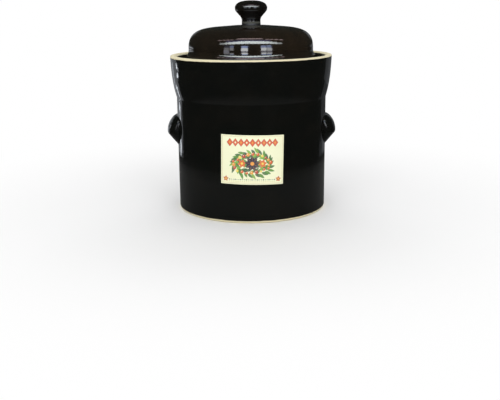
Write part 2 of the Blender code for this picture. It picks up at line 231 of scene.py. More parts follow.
# Arches of light: name, azimuths, elevation in front, fall at ARCH_SPAN, half height, radiance, colour, and
# whether the arch thins out and dims towards its ends
ARCH_STEP = 8.0
ARCH_SPAN = 60
ARCH_DIMMING = 3.2
ARCHES = (
    ("ceiling_strip", (-60, 60), 37.6, 15.2, 9.0, 12.8, STRIP_LIGHT, True),
    ("ceiling_haze", (-52, 44), 51.0, 16.0, 4.5, 1.6, DUSK, False),
    ("lamp_line", (-42, 36), 65.8, 8.8, 5.2, 3.6, LAMPLIGHT, False),
    ("lamp_tail_left", (-75, -43), 62.0, 14.1, 2.7, 3.0, LAMPLIGHT, False),
    ("lamp_tail_right", (38, 74), 62.0, 14.1, 2.7, 3.8, LAMPLIGHT, False),
)

# Windows: the elevations of their parts, then name, azimuths and radiance of the sill, panes and top
WINDOW_SILL = (-4.6, -1.5)
WINDOW_PANES = (-1.5, 8.0)
WINDOW_TOP = (8.0, 18.0)
WINDOWS = (
    ("window_far_left", (-48.5, -39), 3.0, 2.2, 0.6),
    ("window_left", (-37.5, -30), 0.0, 3.2, 3.5),
    ("window_middle", (-16.5, -5.5), 2.5, 10.0, 7.0),
    ("window_right", (18.5, 27.5), 2.2, 8.8, 5.2),
    ("window_far_right", (28.5, 37), 2.2, 6.0, 4.5),
)

# Windows behind the crock: name, azimuths, elevations, radiance, colour
BACK_LIGHTS = (
    ("back_left", (-168, -158), (5, 15), 0.17, DAYLIGHT),
    ("back_right", (150, 166), (5, 15), 0.20, DAYLIGHT),
)

# Cards close to the crock: name, azimuths, heights in mm, radiance
CARD_DISTANCE = 0.55
CARDS = (
    ("card_left", (-152, -121.5), (0, 130), 0.40),
    ("card_left_high", (-152, -119), (130, 225), 0.40),
    ("card_left_lid", (-152, -122), (225, 285), 0.15),
    ("card_left_edge", (-138.5, -136), (130, 210), 0.8),
    ("card_right_low", (118, 131), (0, 38), 0.09),
    ("card_right_low_edge", (131, 150), (0, 38), 0.19),
    ("card_right_line", (124, 127.5), (38, 130), 0.09),
    ("card_right", (127.5, 148), (38, 130), 0.055),
    ("card_right_high", (119, 150), (130, 225), 0.13),
    ("card_right_lid", (137, 160), (225, 260), 0.17),
    ("card_right_lid_high", (130, 160), (260, 285), 0.20),
    ("glint_collar_high", (-120.5, -116), (187, 206), 4.5),
    ("glint_collar_middle", (-116, -113), (172, 193), 1.8),
    ("glint_collar_low", (-121, -116), (151, 166), 5.0),
    ("glint_collar_foot", (-134, -129), (108, 120), 1.5),
    ("glint_wall_high", (-133, -129.5), (68, 128), 2.2),
    ("glint_wall_middle", (-133.5, -129.5), (45, 68), 0.8),
    ("glint_wall_low", (-133.5, -129.5), (0, 45), 2.8),
    ("glint_lid_high", (-146, -122), (258.5, 267.5), 1.1),
    ("glint_lid_low", (-146, -122), (242, 250), 0.95),
)

# Broad fills: name, azimuths, elevations, radiance
FILLS = (
    ("front_fill", (-40, 40), (5, 55), 1.35),
    ("back_fill", (140, 220), (15, 60), 1.2),
    ("top_fill", (-30, 30), (60, 90), 1.3),
)

# World: the strength of the even light and of the dim room that the glaze mirrors
AMBIENT = 0.62
DIM_ROOM = 0.025
DIM_ROOM_COLOUR = (0.85, 1.0, 0.9)

# Floor: its colours to the camera and in the glaze, and the distances between which they change
FLOOR_SIZE = 16.0
FLOOR_ROUGHNESS = 0.9
FLOOR_COLOUR = (0.92, 0.92, 0.92)
FLOOR_MIRRORED_NEAR = (0.11, 0.11, 0.11)
FLOOR_MIRRORED_FAR = (0.02, 0.02, 0.02)
FLOOR_NEAR = (0.38, 0.55)
FLOOR_FADE = (0.30, 0.75)

# Camera, fitted to the photograph
CAMERA_PLACE = Vector((0.0, -1.36, 0.366))
CAMERA_PITCH = math.radians(14.79)
CAMERA_ROLL = math.radians(-0.55)
CAMERA_YAW = math.radians(0.165)
CAMERA_LENS = 55.28
CAMERA_SENSOR = 36.0

# Outer sizes and places, read from the frame
vessel_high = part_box("crock_vessel")[1]
collar_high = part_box("water_collar")[1]
neck_low, neck_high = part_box("neck_ring")
lid_low, lid_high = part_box("lid_shell")
knob_low, knob_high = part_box("lid_knob")
label_low, label_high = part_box("label")
handle_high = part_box("handle_right")[1]
stone_low, stone_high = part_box("weight_stone_right")

WALL_RADIUS = vessel_high.x
CREASE = vessel_high.z
RIM_RADIUS = collar_high.x
CREST = collar_high.z
BORE = WALL_RADIUS - WALL
NECK_RADIUS = neck_high.x
CHANNEL_FLOOR = neck_low.z + SHOULDER_THICKNESS
LID_RADIUS = lid_high.x - SKIRT_FLARE
LID_BORE = LID_RADIUS - LID_WALL
DOME_HEIGHT = lid_high.z - CREST - DOME_FOOT
HANDLE_HEIGHT = handle_high.z - HANDLE_TOP_HEIGHT


def superellipse(across, up, side_power, top_power, steps):
    """Points of a quarter superellipse, from its top on the axis to its side."""
    points = []
    for step in range(steps + 1):
        angle = math.pi / 2 * (1 - step / steps)
        x = across * max(math.cos(angle), 0.0) ** (2 / side_power)
        points.append(Vector((0.0 if step == 0 else x, up * math.sin(angle) ** (2 / top_power))))
    return points


def corner_arc(before, corner, after, rounding, steps=None):
    """Points of an arc that rounds a corner, tangent to both of its sides."""
    back = before - corner
    ahead = after - corner
    half_angle = back.angle(ahead) / 2
    reach = min(rounding / math.tan(half_angle), ARC_REACH * back.length, ARC_REACH * ahead.length)
    radius = reach * math.tan(half_angle)
    middle = (back.normalized() + ahead.normalized()).normalized()
    centre = corner + middle * radius / math.sin(half_angle)
    start = corner + back.normalized() * reach - centre
    finish = corner + ahead.normalized() * reach - centre
    sweep = -start.angle_signed(finish)
    steps = steps or max(2, math.ceil(abs(sweep) / ARC_STEP))
    points = []
    for step in range(steps + 1):
        cosine, sine = math.cos(sweep * step / steps), math.sin(sweep * step / steps)
        turned = Vector((cosine * start.x - sine * start.y, sine * start.x + cosine * start.y))
        points.append(centre + turned)
    return points


def rounded_outline(corners):
    """Turn (across, up, rounding) corners into points, and split long runs."""
    rounded = []
    for index, (across, up, rounding) in enumerate(corners):
        corner = Vector((across, up))
        if rounding <= 0 or index in (0, len(corners) - 1):
            rounded.append(corner)
            continue
        before = Vector(corners[index - 1][:2])
        after = Vector(corners[index + 1][:2])
        rounded += corner_arc(before, corner, after, rounding)
    points = [rounded[0]]
    for point in rounded[1:]:
        run = point - points[-1]
        parts = max(1, math.ceil(run.length / LONGEST_STEP))
        start = points[-1]
        points += [start + run * part / parts for part in range(1, parts + 1)]
    return points


def out_of_true(angle, height):
    """How far the wheel left a wall out of true at a place."""
    oval = 0.0
    for share, waves, start, twist in OVAL_WAVES:
        oval += share * math.sin(waves * angle + start + twist * height)
    place = Vector((RING_WANDER * math.cos(angle), RING_WANDER * math.sin(angle), height / RING_SPACING))
    return OVAL * oval / OVAL_SHARES + RINGS * noise.noise(place)


def turned_object(name, points, segments=TURN_SEGMENTS):
    """Turn an outline that starts and ends on the axis into a closed, smooth-shaded object."""
    shape = bmesh.new()
    rings = []
    for point in points:
        if point.x < ON_AXIS:
            rings.append([shape.verts.new((0, 0, point.y))])
            continue
        ring = []
        for segment in range(segments):
            angle = 2 * math.pi * segment / segments
            fade = min(1.0, point.x / TRUE_CENTRE)
            radius = point.x + fade * out_of_true(angle, point.y)
            ring.append(shape.verts.new((radius * math.cos(angle), radius * math.sin(angle), point.y)))
        rings.append(ring)
    for near, far in zip(rings, rings[1:]):
        for segment in range(segments):
            following = (segment + 1) % segments
            if len(near) == 1:
                shape.faces.new((near[0], far[segment], far[following]))
            elif len(far) == 1:
                shape.faces.new((near[segment], far[0], near[following]))
            else:
                shape.faces.new((near[segment], far[segment], far[following], near[following]))
    return object_from(name, shape)


def object_from(name, shape):
    """Close a bmesh into a smooth-shaded object."""
    bmesh.ops.recalc_face_normals(shape, faces=shape.faces)
    mesh = bpy.data.meshes.new(name)
    shape.to_mesh(mesh)
    shape.free()
    mesh.shade_smooth()
    item = bpy.data.objects.new(name, mesh)
    bpy.context.scene.collection.objects.link(item)
    return item


def apply_modifiers(item, sharp_angle):
    """Replace an object's mesh with its evaluated one, and keep its sharp edges sharp."""
    graph = bpy.context.evaluated_depsgraph_get()
    mesh = bpy.data.meshes.new_from_object(item.evaluated_get(graph))
    item.modifiers.clear()
    item.data = mesh
    mesh.shade_smooth()
    mesh.set_sharp_from_angle(angle=sharp_angle)


def finish_piece(item, body, slot, material, *nodes):
    """Give a piece its material and body, and hide the nodes that it stands for. The slot is not used."""
    item.data.materials.clear()
    item.data.materials.append(material)
    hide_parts(*nodes)
    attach(item, body)


def build_crock(material):
    """The whole fired body in one: vessel, shoulder, neck ring, channel and flared collar."""
    shoulder = neck_low.z
    foot_inner = WALL_RADIUS - FOOT_ROUNDING - FOOT_RING_WIDTH
    flare = RIM_RADIUS - WALL_RADIUS
    collar_height = CREST - CREASE

    def collar_radius(height):
        share = (CREST - height) / collar_height
        return RIM_RADIUS - flare * (COLLAR_SLOPE * share + (1 - COLLAR_SLOPE) * share**COLLAR_POWER)

    middle = (CREST + CHANNEL_FLOOR) / 2
    neck_edge = NECK_WALL / 2
    corners = [
        (0.0, FOOT_RECESS + FLOOR_THICKNESS, 0.0),
        (BORE, FOOT_RECESS + FLOOR_THICKNESS, FLOOR_ROUNDING),
        (BORE, shoulder, SHOULDER_ROUNDING),
        (NECK_RADIUS - NECK_WALL, shoulder, SHOULDER_ROUNDING),
        (NECK_RADIUS - NECK_WALL, neck_high.z, neck_edge),
        (NECK_RADIUS, neck_high.z, neck_edge),
        (NECK_RADIUS, CHANNEL_FLOOR, NECK_FILLET),
        (collar_radius(CHANNEL_FLOOR) - COLLAR_WALL, CHANNEL_FLOOR, CHANNEL_ROUNDING),
        (collar_radius(middle) - COLLAR_WALL, middle, LIP_ROUNDING),
        (RIM_RADIUS - COLLAR_WALL, CREST, LIP_ROUNDING),
        (RIM_RADIUS, CREST, LIP_ROUNDING),
    ]
    lowest = CREASE + CREASE_ABOVE
    for step in range(1, COLLAR_POINTS + 1):
        height = CREST - (CREST - lowest) * (step / COLLAR_POINTS) ** COLLAR_SPACING
        corners.append((collar_radius(height), height, 0.0))
    corners += [
        (WALL_RADIUS, CREASE, CREASE_ROUNDING),
        (WALL_RADIUS, 0.0, FOOT_ROUNDING),
        (foot_inner, 0.0, SMALL_ROUNDING),
        (foot_inner - FOOT_RECESS, FOOT_RECESS, SMALL_ROUNDING),
        (0.0, FOOT_RECESS, 0.0),
    ]
    crock = turned_object("crock_body", rounded_outline(corners))
    nodes = ("crock_vessel", "water_collar", "channel_floor", "neck_ring")
    finish_piece(crock, "crock", "body_glaze", material, *nodes)


def build_lid(material):
    """The domed lid, with its flared skirt and the two vent notches in the skirt's foot."""
    dome_foot = CREST + DOME_FOOT
    outside = superellipse(LID_RADIUS, DOME_HEIGHT, DOME_SIDE_POWER, DOME_TOP_POWER, DOME_POINTS)
    rise = DOME_HEIGHT - LID_WALL
    inside = superellipse(LID_BORE, rise, DOME_SIDE_POWER, DOME_INNER_TOP_POWER, DOME_POINTS)
    corners = []
    for point in outside:
        share = min(1.0, max(0.0, 1 - (point.x - STEM_RADIUS) / BOSS_REACH))
        corners.append((point.x, point.y + dome_foot + BOSS_RISE * share**BOSS_POWER, 0.0))
    for step in range(FLARE_POINTS + 1):
        share = step / FLARE_POINTS
        across = LID_RADIUS + SKIRT_FLARE * share**FLARE_POWER
        corners.append((across, dome_foot - FLARE_DROP * share, FLARE_EDGE if share == 1 else 0.0))
    corners += [
        (lid_high.x, lid_low.z, SKIRT_EDGE_ROUNDING),
        (LID_BORE, lid_low.z, SKIRT_EDGE_ROUNDING),
    ]
    corners += [(point.x, point.y + dome_foot, 0.0) for point in reversed(inside)]
    lid = turned_object("lid", rounded_outline(corners))

    shape = bmesh.new()
    bmesh.ops.create_cone(
        shape,
        cap_ends=True,
        segments=VENT_SEGMENTS,
        radius1=VENT_RADIUS,
        radius2=VENT_RADIUS,
        depth=4 * LID_RADIUS,
    )
    vents = object_from("vent_cutter", shape)
    vents.rotation_euler = (math.pi / 2, 0, 0)
    vents.location = (0, 0, lid_low.z)
    cut = lid.modifiers.new("Vents", "BOOLEAN")
    cut.operation = "DIFFERENCE"
    cut.solver = "EXACT"
    cut.object = vents
    bpy.context.view_layer.update()
    apply_modifiers(lid, SHARP_ANGLE)
    bpy.data.objects.remove(vents, do_unlink=True)
    finish_piece(lid, "lid", "lid_glaze", material, "lid_shell")


def build_knob(material):
    """The turned knob: a stem that flares into a flattened ball."""
    foot = lid_high.z - KNOB_SINK
    flare_foot = knob_low.z + STEM_LENGTH
    flare_top = flare_foot + STEM_FLARE_LENGTH
    belt_top = flare_top + BELT_HEIGHT
    cap_foot = belt_top - CAP_SINK
    cap = superellipse(knob_high.x, knob_high.z - cap_foot, CAP_POWER, CAP_POWER, CAP_POINTS)
    corners = [(point.x, point.y + cap_foot, 0.0) for point in cap if point.y > CAP_EDGE]
    corners += [
        (knob_high.x, belt_top, BELT_ROUNDING),
        (knob_high.x - BELT_DRAFT, flare_top, BELT_FOOT_ROUNDING),
        (STEM_RADIUS - STEM_DRAFT, flare_foot, STEM_FLARE_ROUNDING),
        (STEM_RADIUS, foot + STEM_FOOT, SMALL_ROUNDING),
        (STEM_RADIUS + STEM_FOOT, foot, 0.0),
        (0.0, foot, 0.0),
    ]
    knob = turned_object("lid_knob_turned", rounded_outline(corners), KNOB_SEGMENTS)
    knob.data.transform(Matrix.Translation((KNOB_SHIFT, 0, 0)))
    finish_piece(knob, "lid", "lid_glaze", material, "lid_knob")


def lug_outline(pocket_share):
    """Outline of a lug as (outwards, up) from the wall, with its pocket at a share of its full size."""
    top = superellipse(
        HANDLE_TOP_HEIGHT, HANDLE_REACH, HANDLE_TOP_POWER, HANDLE_TOP_POWER, HANDLE_CROWN_POINTS
    )
    crown = []
    for point in reversed(top):
        short = max(0.0, HANDLE_ROOT_FILLET - point.y)
        fillet = HANDLE_ROOT_FILLET - math.sqrt(HANDLE_ROOT_FILLET**2 - short**2)
        crown.append(Vector((point.y, point.x + fillet)))
    under = Vector((0.0, -HANDLE_UNDER_HEIGHT))
    nose = Vector((HANDLE_REACH, -HANDLE_NOSE_ROUNDING / 2))
    slope = (nose.y - under.y) / HANDLE_REACH
    pocket_height = HANDLE_UNDER_HEIGHT + POCKET_RISE
    tip_angle = math.atan2(pocket_height, slope * POCKET_REACH)

    def pocket_point(angle):
        across = POCKET_REACH * math.sin(angle)
        return under + pocket_share * Vector((across, pocket_height * math.cos(angle)))

    tip = pocket_point(tip_angle)
    after_tip = pocket_point(POCKET_TIP_SHARE * tip_angle)
    nose_arc = corner_arc(crown[-2], nose, tip, HANDLE_NOSE_ROUNDING, NOSE_STEPS)
    run = tip - nose_arc[-1]
    underside = [nose_arc[-1] + run * part / UNDER_STEPS for part in range(1, UNDER_STEPS - 1)]
    if pocket_share > LEAST_POCKET:
        tip_arc = corner_arc(underside[-1], tip, after_tip, HANDLE_TIP_ROUNDING * pocket_share, TIP_STEPS)
    else:
        tip_arc = [tip] * (TIP_STEPS + 1)
    pocket = [
        pocket_point(POCKET_TIP_SHARE * tip_angle * (1 - part / POCKET_POINTS))
        for part in range(POCKET_POINTS + 1)
    ]
    root = [
        Vector((-HANDLE_ROOT_DEPTH, pocket[-1].y)),
        Vector((-HANDLE_ROOT_DEPTH, crown[0].y)),
    ]
    return crown[:-1] + nose_arc + underside + tip_arc + pocket + root


def build_handle(name, node, side, material):
    """Loft a lug along the wall, drawn in towards both ends and hollowed from below for the fingers."""
    shape = bmesh.new()
    rings = []
    for station in range(HANDLE_STATIONS + 1):
        share = HANDLE_END_SHARE + (1 - 2 * HANDLE_END_SHARE) * station / HANDLE_STATIONS
        turn_angle = math.pi * share - math.pi / 2
        along = math.copysign(abs(math.sin(turn_angle)) ** (2 / HANDLE_PLAN_POWER), turn_angle)
        swell = math.cos(turn_angle) ** (2 / HANDLE_PLAN_POWER)
        tall = HANDLE_END_HEIGHT + (1 - HANDLE_END_HEIGHT) * swell
        arc = along * HANDLE_WIDTH / 2
        pocket_share = math.sqrt(max(0.0, 1 - (2 * arc / POCKET_WIDTH) ** 2))
        around = arc / WALL_RADIUS
        ring = []
        for point in lug_outline(pocket_share):
            outwards = WALL_RADIUS - HANDLE_ROOT_DEPTH + swell * (point.x + HANDLE_ROOT_DEPTH)
            up = LUG_GRAINS * point.y + LUGS_APART * side
            outwards += LUG_UNEVEN * noise.noise(Vector((LUG_GRAINS * outwards, LUG_GRAINS * arc, up)))
            place = (
                side * outwards * math.cos(around),
                side * outwards * math.sin(around),
                HANDLE_HEIGHT + tall * point.y,
            )
            ring.append(shape.verts.new(place))
        rings.append(ring)
    count = len(rings[0])
    for near, far in zip(rings, rings[1:]):
        for index in range(count):
            following = (index + 1) % count
            shape.faces.new((near[index], near[following], far[following], far[index]))
    shape.faces.new(rings[0])
    shape.faces.new(reversed(rings[-1]))
    bmesh.ops.remove_doubles(shape, verts=shape.verts, dist=SAME_PLACE)
    handle = object_from(name, shape)
    handle.data.set_sharp_from_angle(angle=SHARP_CLAY_ANGLE)
    finish_piece(handle, "crock", "body_glaze", material, node)


def build_stone(name, node, side, material):
    """A half-moon stone with half a finger hole in its straight edge and softened edges."""
    radius = stone_high.x
    half_split = stone_low.x
    rim_angle = math.acos(half_split / radius)
    hole_angle = math.acos(half_split / FINGER_HOLE_RADIUS)
    shape = bmesh.new()
    points = []
    for step in range(STONE_STEPS + 1):
        angle = rim_angle * (2 * step / STONE_STEPS - 1)
        points.append((side * radius * math.cos(angle), side * radius * math.sin(angle)))
    for step in range(STONE_HOLE_STEPS + 1):
        angle = hole_angle * (1 - 2 * step / STONE_HOLE_STEPS)
        across = side * FINGER_HOLE_RADIUS * math.cos(angle)
        points.append((across, side * FINGER_HOLE_RADIUS * math.sin(angle)))
    base = shape.faces.new([shape.verts.new((x, y, stone_low.z)) for x, y in points])
    grown = bmesh.ops.extrude_face_region(shape, geom=[base])
    lifted = [item for item in grown["geom"] if isinstance(item, bmesh.types.BMVert)]
    bmesh.ops.translate(shape, verts=lifted, vec=(0, 0, stone_high.z - stone_low.z))
    stone = object_from(name, shape)
    bevel = stone.modifiers.new("Soft edges", "BEVEL")
    bevel.width = STONE_EDGE
    bevel.segments = STONE_EDGE_SEGMENTS
    bevel.limit_method = "ANGLE"
    bevel.angle_limit = STONE_EDGE_ANGLE
    apply_modifiers(stone, SHARP_CLAY_ANGLE)
    body = "weight_left" if side < 0 else "weight_right"
    finish_piece(stone, body, "raw_stoneware", material, node)


class Print:
    """Inks laid on the label's paper. Places are (across, up) in mm from the label's lower middle."""

    SOFTNESS = 0.5
    LEAF_FULLNESS = 0.8
    LEAF_TAPER = 0.35
    VEIN_HALF_WIDTH = 0.22
    VEIN_MARGIN = 0.12
    VEIN_STRENGTH = 0.6

    def __init__(self, across, up, paper):
        self.across = across
        self.up = up
        self.ink = np.empty((len(across), 3))
        self.ink[:] = paper

    def lay(self, distance, colour, strength=1.0):
        """Lay a colour where a distance to a shape's edge is negative."""
        share = strength * np.clip(0.5 - distance / self.SOFTNESS, 0, 1)[:, None]
        self.ink = self.ink * (1 - share) + np.array(colour) * share

    def dot(self, x, y, radius, colour):
        self.lay(np.hypot(self.across - x, self.up - y) - radius, colour)

    def leaf(self, x, y, angle, length, width, colour, vein):
        """A pointed leaf that starts at a place and grows along an angle, with a paler vein."""
        along = (self.across - x) * math.cos(angle) + (self.up - y) * math.sin(angle)
        beside = np.abs((self.up - y) * math.cos(angle) - (self.across - x) * math.sin(angle))
        share = np.clip(along / length, 0, 1)
        edge = width * np.sin(np.pi * share) ** self.LEAF_FULLNESS * (1 - self.LEAF_TAPER * share)
        outside = np.maximum(-along, along - length)
        self.lay(np.maximum(beside - edge / 2, outside), colour)
        outside += self.VEIN_MARGIN * length
        self.lay(np.maximum(beside - self.VEIN_HALF_WIDTH, outside), vein, self.VEIN_STRENGTH)

    def lozenge(self, x, y, half_width, half_height, colour):
        reach = np.abs(self.across - x) / half_width + np.abs(self.up - y) / half_height
        self.lay((reach - 1) * min(half_width, half_height), colour)

    def frame(self, half_width, low, high, line, colour):
        middle = (low + high) / 2
        beyond = np.maximum(np.abs(self.across) - half_width, np.abs(self.up - middle) - (high - low) / 2)
        self.lay(np.abs(beyond) - line / 2, colour)


# The paper's colours and roughness, and the inks
PAPER = (0.865, 0.875, 0.600)
YELLOWED = (0.70, 0.62, 0.36)
YELLOWED_BOUNDS = (0.4, 0.8)
YELLOWED_SHARE = 0.10
FIBRE_BOUNDS = (0.3, 0.7)
PAPER_ROUGHNESS = (0.42, 0.58)
ORANGE = (0.72, 0.115, 0.022)
RED = (0.52, 0.030, 0.020)
AMBER = (0.83, 0.33, 0.040)
YELLOW = (0.86, 0.64, 0.090)
PLUM = (0.018, 0.014, 0.045)
TAN = (0.60, 0.42, 0.20)
GREENS = ((0.035, 0.150, 0.040), (0.075, 0.260, 0.030), (0.190, 0.420, 0.045), (0.020, 0.090, 0.050))
PALE_GREEN = (0.50, 0.66, 0.20)

# Layout of the print, in mm and radians, and the bounds of what chance varies
PRINT_SEED = 7
BORDER_INSET = 2.2
BORDER_LINE = 0.45
ROW_INSET = 15.0
LOZENGES = 9
LOZENGE_DROP = 12.2
DOTS = 25
WREATH_RISE = 0.43
WREATH_HALVES = (29.5, 16.8)
WREATH_LEAVES = 62
LEAF_SCATTER = (-3.0, 2.0)
LEAF_LEAN = (0.35, 1.0)
LEAF_LENGTH = (9.5, 13.5)
LEAF_WIDTH = (4.6, 6.2)
WREATH_BERRIES = 22
BERRY_START = 0.4
BERRY_SCATTER = (-3.4, 3.0)
BERRY_RADIUS = (1.9, 3.0)
BERRY_COLOURS = (ORANGE, AMBER, RED, YELLOW, ORANGE)


def draw_wreath(print_, middle, half_width, half_height, chance):
    """A full oval wreath of leaves and berries."""

    def scattered(angle, bounds):
        out = chance.uniform(*bounds)
        return (half_width + out) * math.cos(angle), middle + (half_height + out) * math.sin(angle)

    for index in range(WREATH_LEAVES):
        angle = 2 * math.pi * index / WREATH_LEAVES
        x, y = scattered(angle, LEAF_SCATTER)
        lean = (1 if index % 2 else -1) * chance.uniform(*LEAF_LEAN)
        heading = math.atan2(half_height * math.cos(angle), -half_width * math.sin(angle)) + lean
        length = chance.uniform(*LEAF_LENGTH)
        width = chance.uniform(*LEAF_WIDTH)
        print_.leaf(x, y, heading, length, width, chance.choice(GREENS), PALE_GREEN)
    for index in range(WREATH_BERRIES):
        angle = 2 * math.pi * (index + BERRY_START) / WREATH_BERRIES
        x, y = scattered(angle, BERRY_SCATTER)
        radius = chance.uniform(*BERRY_RADIUS)
        print_.dot(x, y, radius, BERRY_COLOURS[index % len(BERRY_COLOURS)])
        print_.dot(x - 0.3 * radius, y + 0.35 * radius, 0.26 * radius, PAPER)


def draw_rosette(print_, x, y, radius, petals, colour, heart):
    """A round flower of pointed petals."""
    for petal in range(petals):
        angle = 2 * math.pi * petal / petals + 0.2
        print_.leaf(x, y, angle, radius, 0.70 * radius, colour, heart)
    print_.dot(x, y, 0.26 * radius, heart)


def draw_label(across, up, half_width, height):
    """The label's print: a lozenge border, a wreath round three flowers, and rows of dots."""
    chance = random.Random(PRINT_SEED)
    print_ = Print(across, up, PAPER)
    print_.frame(half_width - BORDER_INSET, BORDER_INSET, height - BORDER_INSET, BORDER_LINE, TAN)
    row = half_width - ROW_INSET
    spacing = 2 * row / (LOZENGES - 1)
    top = height - LOZENGE_DROP
    for index in range(LOZENGES):
        x = -half_width + ROW_INSET + spacing * index
        print_.lozenge(x, top, half_width=0.56 * spacing, half_height=6.8, colour=RED)
        print_.lozenge(x, top, half_width=0.44 * spacing, half_height=5.3, colour=ORANGE)
        heart = PAPER if index % 2 else AMBER
        print_.lozenge(x, top, half_width=0.16 * spacing, half_height=2.1, colour=heart)
    middle = WREATH_RISE * height
    draw_wreath(print_, middle, *WREATH_HALVES, chance)
    for side in (-1, 1):
        for lean in (-0.9, -0.3, 0.3, 0.9):
            heading = lean + (0.0 if side > 0 else math.pi)
            print_.leaf(side * 8.5, middle, heading, 9.0, 4.4, colour=GREENS[1], vein=PALE_GREEN)
        draw_rosette(print_, side * 17.0, middle, radius=7.4, petals=6, colour=ORANGE, heart=YELLOW)
    draw_rosette(print_, 0.0, middle, radius=12.5, petals=9, colour=PLUM, heart=AMBER)
    for index in range(DOTS):
        x = (2 * index / (DOTS - 1) - 1) * row
        print_.dot(x, 8.2, radius=0.65 if index % 3 else 0.95, colour=GREENS[3])
        print_.dot(x, 5.0, radius=0.55, colour=TAN)
    for side in (-1, 1):
        x = side * (half_width - 8.5)
        draw_rosette(print_, x, 9.0, radius=4.8, petals=5, colour=RED, heart=YELLOW)
    return print_.ink


def build_label(material):
    """The paper label, glued on a little askew. Its print is a colour at each point of a fine grid."""
    width = 2 * WALL_RADIUS * math.asin(label_high.x / (WALL_RADIUS + LABEL_OUTSIDE))
    height = label_high.z - label_low.z
    middle = (label_high.z + label_low.z) / 2
    cosine, sine = math.cos(LABEL_TILT), math.sin(LABEL_TILT)
    columns = round(width / LABEL_STEP)
    rows = round(height / LABEL_STEP)
    shape = bmesh.new()
    sheets = []
    places = []
    for lift in (LABEL_LIFT + LABEL_THICKNESS, LABEL_LIFT):
        sheet = []
        for row in range(rows + 1):
            line = []
            for column in range(columns + 1):
                across = width * (column / columns - 0.5)
                above = height * (row / rows - 0.5)
                places.append((across, above))
                angle = (cosine * across + sine * above + LABEL_SHIFT) / WALL_RADIUS - math.pi / 2
                up = middle + cosine * above - sine * across
                radius = WALL_RADIUS + out_of_true(angle, up) + lift
                line.append(shape.verts.new((radius * math.cos(angle), radius * math.sin(angle), up)))
            sheet.append(line)
        sheets.append(sheet)
    front, back = sheets
    for row in range(rows):
        for column in range(columns):
            for sheet in sheets:
                corners = (sheet[row][column], sheet[row][column + 1])
                corners += (sheet[row + 1][column + 1], sheet[row + 1][column])
                shape.faces.new(corners if sheet is front else reversed(corners))
    for row in range(rows):
        for column in (0, columns):
            shape.faces.new(
                (front[row][column], front[row + 1][column], back[row + 1][column], back[row][column])
            )
    for column in range(columns):
        for row in (0, rows):
            shape.faces.new(
                (front[row][column], front[row][column + 1], back[row][column + 1], back[row][column])
            )
    label = object_from("paper_label", shape)
    mesh = label.data
    mesh.set_sharp_from_angle(angle=SHARP_ANGLE)
    across, above = np.array(places).T / MM
    inks = np.ones((len(places), 4), np.float32)
    inks[:, :3] = draw_label(across, above + height / 2 / MM, width / 2 / MM, height / MM)
    mesh.color_attributes.new("print", "FLOAT_COLOR", "POINT").data.foreach_set("color", inks.ravel())
    finish_piece(label, "crock", "label_paper", material, "label")


def add_node(tree, kind, values=None, **settings):
    """Add a shader node, set its settings, and fill its inputs with values or links."""
    node = tree.nodes.new(kind)
    for key, value in settings.items():
        setattr(node, key, value)
    for key, value in (values or {}).items():
        if isinstance(value, bpy.types.NodeSocket):
            tree.links.new(value, node.inputs[key])
        else:
            node.inputs[key].default_value = value
    return node


def math_node(tree, operation, first, second=0.0):
    """One step of arithmetic on numbers or sockets."""
    return add_node(tree, "ShaderNodeMath", {0: first, 1: second}, operation=operation).outputs[0]


def mix_colours(tree, share, first, second):
    """Blend two colours, given as values or sockets."""
    first = (*first, 1.0) if isinstance(first, tuple) else first
    second = (*second, 1.0) if isinstance(second, tuple) else second
    node = add_node(tree, "ShaderNodeMix", {0: share, 6: first, 7: second}, data_type="RGBA")
    return node.outputs[2]


def ramp(tree, value, low, high, low_result=0.0, high_result=1.0):
    """A smooth step of a value between two bounds."""
    values = {0: value, 1: low, 2: high, 3: low_result, 4: high_result}
    return add_node(tree, "ShaderNodeMapRange", values, interpolation_type="SMOOTHSTEP").outputs[0]


def noise_node(tree, position, scale, detail=2.0, roughness=0.5):
    """Noise between 0 and 1 at a scale in grains per metre."""
    values = {"Vector": position, "Scale": scale, "Detail": detail, "Roughness": roughness}
    return add_node(tree, "ShaderNodeTexNoise", values).outputs[0]


def bump(tree, height, depth, normal=None):
    """Relief of a depth in metres, on top of what relief there is."""
    values = {"Height": height, "Distance": depth, "Strength": 1.0}
    if normal is not None:
        values["Normal"] = normal
    return add_node(tree, "ShaderNodeBump", values).outputs[0]


